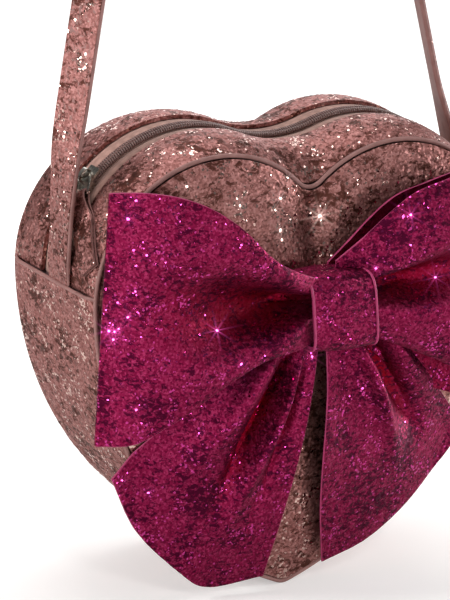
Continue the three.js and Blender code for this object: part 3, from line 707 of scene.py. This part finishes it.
def strapRun():
    centre = np.array([-strapSet["offset"], seamZ + strapSet["height"] - strapSet["radius"]])
    inside, foot = strapSet["inside"], seamZ - strapSet["tuck"]
    left = np.array([-inside, seamZ + strapSet["leftRise"]])
    right = np.array([inside, seamZ + strapSet["rightRise"]])

    def tangent(bend, side):
        away = bend - centre
        return math.atan2(away[1], away[0]) - side * math.acos(strapSet["radius"] / np.hypot(*away))
    over = arcLine(*centre, strapSet["radius"], tangent(left, 1) + 2 * math.pi, tangent(right, -1),
                   strapSet["topSteps"])
    flatTop = centre[1] + strapSet["radius"] * math.cos(math.radians(strapSet["flat"]))
    over[:, 1] = np.minimum(over[:, 1], flatTop)
    line = np.vstack([[(-inside, foot), left], over, [right, (inside, foot)]])
    count = round(np.linalg.norm(np.diff(line, axis=0), axis=1).sum() / strapSet["step"])
    line = evenly(line, count)
    for _ in range(strapSet["easeRounds"]):  # eases the bend where the strap leaves the bag's side
        line[1:-1] += strapSet["easeShare"] * (line[:-2] - 2 * line[1:-1] + line[2:])
    run = np.gradient(line, axis=0)
    out = unit(np.stack([-run[:, 1], run[:, 0]], 1))
    twist = ease((line[:, 1] - seamZ - strapSet["twistStart"]) / strapSet["twistLength"])
    twist = twist * ease((centre[1] - line[:, 1]) / (strapSet["height"] / 3))
    twist = -np.sign(out[:, 0]) * (twist * math.radians(strapSet["twist"]))
    zero = np.zeros(len(line))
    sides = np.stack([np.sin(twist), -np.cos(twist), zero], 1)
    ups = np.stack([out[:, 0] * np.cos(twist), out[:, 0] * np.sin(twist), out[:, 1]], 1)
    thin = 1 - (1 - strapSet["footThin"]) * (1 - ease((line[:, 1] - seamZ) / strapSet["footRun"]))
    rise, drop = line[:, 1] - seamZ - strapSet["footRun"], centre[1] - line[:, 1]
    lay = ease(rise / strapSet["rightBackRun"]) * ease(drop / strapSet["rightBackEnd"]) * (out[:, 0] > 0)
    y = strapSet["rightBack"] * lay - strapSet["forward"]
    return withDepth(line, y), sides, ups * thin[:, None]


def bendAtSeam(piece):
    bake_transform(piece)


def addStrap():
    line, sides, ups = strapRun()
    half, thick = strapSet["width"] / 2, strapSet["core"] + strapSet["face"] * strapSet["faceSink"]
    corner = thick / 2
    turns = np.linspace(-math.pi / 2, math.pi / 2, strapSet["edgeSteps"])
    right = [(half - corner + corner * math.cos(t), corner + corner * math.sin(t)) for t in turns]
    section = right + [(-across, height) for across, height in right[::-1]]
    core = gridPiece("strapCore", sectionAlong(line, sides, ups, section), around=True)
    finishRod(core, mauvePaint, None, "strap_lining", angle=60)
    bendAtSeam(core)
    faceHalf = strapSet["faceWidth"] / 2
    level = strapSet["core"] + strapSet["face"]
    section = [(across, level) for across in np.linspace(-faceHalf, faceHalf, strapSet["faceSteps"])]
    grid = roughen(sectionAlong(line, sides, ups, section), strapSet["relief"])
    face = gridPiece("strapGlitterFace", grid, outward=(-strapSet["offset"], 0, seamZ + strapSet["inwards"]))
    finishCloth(face, [roseGlitter], strapSet["face"], None, "strap_outer")
    bendAtSeam(face)


addStrap()
print("strap made")

# Bow: two loops and two tails gathered in a knot
bowSet = dict(middle=131.5, cloth=1.0, relief=0.16, edge=0.4, edgeSides=8, edgeAcross=(0.3, 0.9, 0.3))
bowCloths = [fuchsiaGlitter, pinkPaint]
knotSet = dict(width=31, height=34.5, depth=25, cloth=1.6, lean=7.9, below=0.51, edge=0.6, gap=0.3, drop=2,
               waist=0.06, squareBelow=0.4, squareAbove=0.5, steps=32, around=104)
frontFace = -halfDepth - heart["crown"]
knotY = frontFace - knotSet["gap"] - knotSet["depth"] / 2

# The loops carry painted shade: a deeper red along the front's valley and over the whole back layer, inside
# the loop
loopSet = dict(rows=112, steps=184, hollowPower=2.6, swellPower=0.6, clear=1.2, frontFoldShade=0.75, backLayerShade=0.3,
               front=0.5, fold=0.04,  # shares of the cloth's run along the front and round the fold
               inside=(60, -55, 131))  # a place inside the loop
loopSides = dict(  # by distance from the bow's middle; the bow hangs askew, so the right loop stands higher
    left=dict(
        side=-1, x=(1, 17, 40, 57, 79, 95, 103.4),
        top=(141, 146.4, 158, 173.3, 184.9, 186.5, 185.2),
        bottom=(121, 116.3, 112, 103, 88.5, 78.6, 76.5),
        frontTop=(-60, -68, -73.5, -72, -66, -56, -48.5),
        frontBottom=(-60, -67, -69.5, -68.5, -65, -57.5, -48.5),
        back=(-52, -50, -47.5, -46.8, -46.5, -46.3, -46.3),
        valley=(133, 133.5, 134.2, 134.8, 135.7, 137, 138),
        valleyHalf=(2.5, 4, 11.5, 15.5, 17, 17, 16),
        valleyDepth=(10, 20, 21.5, 16.5, 7, 1, 0),
        puff=4.0, puffPower=0.7, backDrop=0.33, backSag=0),
    right=dict(
        side=1, x=(1, 12.6, 22, 34, 52, 79, 95, 103.4),
        top=(149, 159.3, 167.4, 175.5, 181.1, 186, 187, 186),
        bottom=(121, 117.5, 114, 109.5, 102, 88.5, 79, 76.5),
        frontTop=(-58, -61, -62, -62, -62, -58, -53, -48.5),
        frontBottom=(-58, -58, -58, -58, -58, -57, -53, -48.5),
        back=(-52, -50.5, -49, -47.5, -46.8, -46.5, -46.3, -46.3),
        valley=(134, 135, 135.4, 136.5, 140, 142, 144, 146),
        valleyHalf=(3, 3.8, 5, 7, 9.5, 11, 12, 13),
        valleyDepth=(10, 18, 20, 19, 14, 8, 3, 0),
        puff=9.0, puffPower=0.5, backDrop=0.33, backSag=14),
)


def paintFoldShade(piece, amount):  # painted shade: marks where the cloth's colour turns a deeper red in folds, standing in for light bounced to and fro there
    mark = piece.data.attributes.new("hollow", "FLOAT", "POINT")
    mark.data.foreach_set("value", np.clip(amount, 0, 1).astype(np.float32).ravel())


def addEdge(name, lines, radius):  # thin bead of edge paint along a cut edge
    section = ringSection(bowSet["edgeSides"], radius, radius)
    pieces = []
    for line in lines:
        run = unit(np.gradient(line, axis=0))
        sides = unit(np.cross(run, bowSet["edgeAcross"]))
        bead = gridPiece(name, sectionAlong(line, sides, np.cross(run, sides), section), around=True)
        capEnds(bead)
        pieces.append(bead)
    pick(pieces[0])
    for bead in pieces[1:]:
        bead.select_set(True)
    bpy.ops.object.join()
    piece = pieces[0]
    piece.data.materials.append(pinkPaint)
    smoothShade(piece)
    dress(piece, "bag", None)


def addLoop(name, node, side, x, puff, puffPower, backDrop, backSag, **rows):
    front, fold = loopSet["front"], loopSet["fold"]
    u = np.linspace(0, 1, loopSet["steps"])
    share = np.where(u < front, u / front, np.where(u < front + fold, 1, (1 - u) / (1 - front - fold)))
    along = x[0] + (x[-1] - x[0]) * share
    v = np.linspace(0, 1, loopSet["rows"])[None, :]
    at = {key: through(x, values, along)[:, None] for key, values in rows.items()}
    z = at["bottom"] + (at["top"] - at["bottom"]) * v
    swell = np.sin(math.pi * np.clip((along - x[1]) / (x[-1] - x[1]), 0, 1))[:, None]
    hollow = np.exp(-np.abs((z - at["valley"]) / at["valleyHalf"]) ** loopSet["hollowPower"])
    frontY = at["frontBottom"] + (at["frontTop"] - at["frontBottom"]) * v + at["valleyDepth"] * hollow
    frontY = frontY - puff * np.sin(math.pi * v) ** puffPower * swell ** loopSet["swellPower"]
    frontY = np.minimum(frontY, at["back"] - loopSet["clear"])
    backY = np.broadcast_to(at["back"], frontY.shape)
    turn = np.clip((u - front) / fold, 0, 1)[:, None] * math.pi
    onBack = (1 - np.cos(turn)) / 2
    z = z - onBack * (backDrop * (backY - frontY) * v + backSag * (1 - v) * swell)
    y = (frontY + backY) / 2 - (backY - frontY) / 2 * np.cos(turn)
    out = along[:, None] + (backY - frontY) / 2 * np.sin(turn)
    grid = np.stack([side * out, y, z], -1)
    inX, inY, inZ = loopSet["inside"]
    piece = gridPiece(name, roughen(grid, bowSet["relief"]), outward=(side * inX, inY, inZ))
    # painted shade: deeper red along the valley, by its depth, and over the back layer
    foldShadeShare = loopSet["frontFoldShade"] * hollow * at["valleyDepth"] / max(rows["valleyDepth"]) * (1 - onBack)
    paintFoldShade(piece, foldShadeShare + loopSet["backLayerShade"] * onBack)
    finishCloth(piece, bowCloths, bowSet["cloth"], "bag", node, offset=0)
    shown = u < front + fold / 2
    addEdge(name + "Edge", [grid[shown, 0], grid[shown, -1]], bowSet["edge"])


# Tails: fans of cloth with a few folds that die away; places run from the outer corner to the inner one
tailSet = dict(rows=96, steps=128, arch=7.0, archPower=0.85, startOuter=-48, startInner=-53, startTurn=0.5,
               startWide=3, startNarrow=1, startTop=4, startEase=1.3, fallPower=1.05, clear=1.2,
               foldFrom=0.3, foldStay=0.35, foldFade=0.5, foldShadeShare=0.7, foldShadeDepth=9, inside=(0, 0, 60))
tailSides = dict(
    left=dict(side=-1, bow=0, x=(90, 76.7, 55.6, 40.7, 14.5), y=(-33, -37, -40, -40, -42),
              z=(56.5, 32.2, 11.7, 3, 5.3),
              folds=((0.27, 0.08, -6.5), (0.5, 0.075, 12.0), (0.66, 0.06, -5.0), (0.82, 0.05, 4.0))),
    right=dict(side=1, bow=6, x=(88, 75, 58, 38, 15.6), y=(-35, -37, -39.5, -41, -42),
               z=(60, 44.5, 28, 15, 7.8),
               folds=((0.08, 0.1, -5.0), (0.3, 0.075, 12.0), (0.48, 0.06, -6.5), (1.0, 0.15, -3.0))),
)


def panelFront(x, z):  # how far forward the front panel's face lies
    edge = heartLine(0, panelSet["edgeSteps"]) - [0, heart["crownAt"]]
    angle, reach = np.arctan2(edge[:, 0], edge[:, 1]), np.hypot(edge[:, 0], edge[:, 1])
    order = np.argsort(angle)
    limit = np.interp(np.arctan2(x, z - heart["crownAt"]), angle[order], reach[order])
    share = np.clip(1 - np.hypot(x, z - heart["crownAt"]) / limit, 0, 1)
    return -halfDepth - heart["crown"] * (1 - (1 - share) ** panelSet["crownPower"])


def addTail(name, node, side, x, y, z, folds, bow):
    v = np.linspace(0, 1, tailSet["rows"])[None, :]
    u = np.linspace(0, 1, tailSet["steps"])[:, None]
    knots = np.linspace(0, 1, len(x))
    endX, endY, endZ = (through(knots, values, v[0])[None, :] for values in (x, y, z))
    startX = knotSet["width"] / 2 + tailSet["startWide"] - (knotSet["width"] / 2 + tailSet["startNarrow"]) * v
    gathered = (knotSet["height"] / 2 - tailSet["startTop"]) * ease(v * tailSet["startEase"])
    startZ = bowSet["middle"] - knotSet["drop"] - gathered
    across = startX + (endX - startX) * u - bow * np.sin(math.pi * u) * ease(2 * v - 1)
    height = startZ + (endZ - startZ) * u ** tailSet["fallPower"]
    inner = ease(v / tailSet["startTurn"])
    startY = tailSet["startOuter"] + (tailSet["startInner"] - tailSet["startOuter"]) * inner
    ahead = startY + (endY - startY) * u - tailSet["arch"] * np.sin(math.pi * u ** tailSet["archPower"])
    fade = ease(u / tailSet["foldFrom"]) * (1 - ease((u - tailSet["foldStay"]) / tailSet["foldFade"]))
    fold = fade * sum(rise * np.exp(-((v - place) / width) ** 2) for place, width, rise in folds)
    ahead = np.minimum(ahead + fold, panelFront(across, height) - tailSet["clear"])
    grid = np.stack(np.broadcast_arrays(side * across, ahead, height), -1)
    piece = gridPiece(name, roughen(grid, bowSet["relief"]), outward=tailSet["inside"])
    # painted shade: a deeper red in the tails' valleys, growing with how far each fold runs back
    paintFoldShade(piece, np.broadcast_to(tailSet["foldShadeShare"] * fold / tailSet["foldShadeDepth"], ahead.shape))
    finishCloth(piece, bowCloths, bowSet["cloth"], "bag", node, offset=0)
    addEdge(name + "Edge", [grid[:, 0], grid[:, -1]], bowSet["edge"])


def addKnot():
    xs = np.linspace(-knotSet["width"] / 2, knotSet["width"] / 2, knotSet["steps"])
    turn = (np.arange(knotSet["around"]) * 2 * math.pi / knotSet["around"])[:, None]
    below = np.sin(turn) < 0
    tall = knotSet["height"] * np.where(below, knotSet["below"], 1 - knotSet["below"])
    base = bowSet["middle"] - knotSet["drop"]

    def rounded(wave, power):
        return np.sign(wave) * np.abs(wave) ** power
    swell = 1 - knotSet["waist"] * (2 * xs / knotSet["width"])[None, :] ** 2
    power = np.where(below, knotSet["squareBelow"], knotSet["squareAbove"])
    y = knotY - knotSet["depth"] / 2 * rounded(np.cos(turn), power) * swell
    z = tall * rounded(np.sin(turn), power) * swell
    grid = np.stack([xs[None, :] - z * math.tan(math.radians(knotSet["lean"])), y, base + z], -1)
    piece = gridPiece("bowKnot", roughen(grid, bowSet["relief"], wrap=True), wrap=True,
                      outward=(0, knotY, bowSet["middle"]))
    finishCloth(piece, bowCloths, knotSet["cloth"], "bag", "bow_knot")
    addEdge("bowKnotEdge", [np.vstack([grid[:, k], grid[:1, k]]) for k in (0, -1)], knotSet["edge"])


for place in ("left", "right"):
    addLoop(place + "BowLoop", "bow_loop_" + place, **loopSides[place])
    addTail(place + "BowTail", "bow_tail_" + place, **tailSides[place])
addKnot()
print("bow made")

# Lining: plain woven cloth inside the panels and the lower gusset
liningSet = dict(thickness=0.6, inset=2.5, grow=-3.0, reach=30.3, drop=2.1, around=240, rings=30,
                 bandSteps=24, bandFine=0.6)


def addLining():
    wall = liningSet["thickness"]
    for place, side in (("front", -1), ("rear", 1)):
        grid = panelGrid(side, liningSet["grow"], liningSet["inset"], liningSet["around"], liningSet["rings"])
        piece = gridPiece(place + "Lining", grid, wrap=True, outward=bagInside)
        weld(piece)
        finishCloth(piece, [liningWeave], wall, "bag", place + "_lining", angle=50)
    ys = np.linspace(-liningSet["reach"], liningSet["reach"], liningSet["bandSteps"])
    lines = [lowerLine(bulgeAt(y) - liningSet["drop"], liningSet["bandFine"]) for y in ys]
    piece = gridPiece("liningBand", withDepth(np.stack(lines, 1), ys), outward=bagInside)
    finishCloth(piece, [liningWeave], wall, "bag", "lining_band", angle=50)


addLining()
print("lining made")

# Studio: pale floor under the tip, soft boxes and a few small lamps that make the flakes flash
studioSet = dict(floor="#e0dedc", farFloor="#6a6968", floorSize=30, floorRough=0.9,
                 darkFrom=0.65, darkTo=0.85,  # metres from the bag, as are nearTo and farFrom
                 glowNear=0.34, glowFar=1.0, nearTo=0.15, farFrom=0.7, sky=0.15, aimHeight=100,
                 starFrom=4.0, starArms=8, starTurn=12, starFade=0.86,
                 bloomFrom=2.5, bloomSize=0.1, bloomShare=0.35)
lampSet = [  # place in mm from the bag's middle, size in mm, watts
    ("keySoftBox", (1350, -450, 400), 260, 7),
    ("frontSoftBox", (-350, -1300, 900), 240, 4.4),
    ("topSoftBox", (100, 350, 1400), 900, 10),
    ("backSoftBox", (750, 1150, 500), 1300, 9.5),
    ("leftSoftBox", (-1300, 100, 900), 350, 11),
    ("sparkBoxLeft", (-800, -500, 30), 160, 1.0),
    ("sparkBoxBehind", (-1000, 260, 20), 300, 2.4),
    ("sparkBoxRight", (1100, -100, 100), 300, 6.0),
    ("sparkBoxLow", (150, -1100, -20), 240, 2.4),
    ("starLampLeft", (-1300, -900, 250), 130, 1.8),
    ("starLampBelow", (-900, -1200, 20), 130, 1.4),
]


def addStudio():
    bpy.ops.object.select_all(action="DESELECT")
    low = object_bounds()[0].z
    bpy.ops.mesh.primitive_plane_add(size=studioSet["floorSize"], location=(bagMiddle / 1000, 0, low))
    floor = bpy.context.active_object
    floor.name = "studioFloor"
    material, shader, place = newMaterial("paleFloor")
    seen = addNode(material, "ShaderNodeLightPath")
    away = addNode(material, "ShaderNodeVectorMath", {"operation": "LENGTH"}, {0: place})
    outer = addNode(material, "ShaderNodeMapRange", {
        "From Min": studioSet["darkFrom"], "From Max": studioSet["darkTo"]}, {"Value": away.outputs["Value"]})
    tone = addNode(material, "ShaderNodeMix", {  # darker by the lamps, so that no hot spots flare in the lens
        "data_type": "RGBA", 6: linear(studioSet["floor"]), 7: linear(studioSet["farFloor"])},
        {0: outer.outputs[0]})
    paper = addNode(material, "ShaderNodeMapRange", {  # white to the eye far out, so shadows fade
        "From Min": studioSet["nearTo"], "From Max": studioSet["farFrom"],
        "To Min": studioSet["glowNear"], "To Max": studioSet["glowFar"]}, {"Value": away.outputs["Value"]})
    glow = addNode(material, "ShaderNodeMath", {"operation": "MULTIPLY"},
                   {0: seen.outputs["Is Camera Ray"], 1: paper.outputs[0]})
    setNode(material, shader, {
        "Roughness": studioSet["floorRough"], "Specular IOR Level": 0.0, "Emission Color": (1, 1, 1, 1)},
        {"Base Color": tone.outputs[2], "Emission Strength": glow.outputs[0]})
    floor.data.materials.append(material)
    world = bpy.data.worlds.new("studioSky")
    world.use_nodes = True
    sky = setNode(world, world.node_tree.nodes["Background"], {
        "Color": (1, 1, 1, 1), "Strength": studioSet["sky"]})
    white = addNode(world, "ShaderNodeBackground", {"Strength": 1.0})
    path = addNode(world, "ShaderNodeLightPath")
    mix = addNode(world, "ShaderNodeMixShader",
                  links={0: path.outputs["Is Camera Ray"], 1: sky.outputs[0], 2: white.outputs[0]})
    setNode(world, world.node_tree.nodes["World Output"], links={"Surface": mix.outputs[0]})
    bpy.context.scene.world = world
    middle = Vector((0, 0, studioSet["aimHeight"] / 1000))
    aim = Vector(toFrame((0, 0, studioSet["aimHeight"])))
    for name, place, size, watts in lampSet:
        light = bpy.data.lights.new(name, "AREA")
        light.energy = watts
        light.size = size / 1000
        lamp = bpy.data.objects.new(name, light)
        lamp.location = Vector(toFrame(place)) + middle
        lamp.rotation_mode = "QUATERNION"
        lamp.rotation_quaternion = (aim - lamp.location).to_track_quat("-Z", "Y")
        lamp.visible_camera = False
        bpy.context.collection.objects.link(lamp)
    bpy.context.scene.view_settings.view_transform = "Standard"


def addStars():  # the brightest flakes flare into small stars in the lens, with a faint bloom
    scene = bpy.context.scene
    scene.use_nodes = True
    scene.node_tree.nodes.clear()
    picture = addNode(scene, "CompositorNodeRLayers")
    stars = addNode(scene, "CompositorNodeGlare", {
        "glare_type": "STREAKS", "quality": "HIGH", "Threshold": studioSet["starFrom"],
        "Streaks": studioSet["starArms"], "Streaks Angle": math.radians(studioSet["starTurn"]),
        "Fade": studioSet["starFade"], "Color Modulation": 0.0}, {"Image": picture.outputs["Image"]})
    bloom = addNode(scene, "CompositorNodeGlare", {
        "glare_type": "BLOOM", "quality": "HIGH", "Threshold": studioSet["bloomFrom"],
        "Size": studioSet["bloomSize"], "Strength": studioSet["bloomShare"]},
        {"Image": stars.outputs["Image"]})
    addNode(scene, "CompositorNodeComposite", links={"Image": bloom.outputs["Image"]})


addStudio()
addStars()
print("studio set")
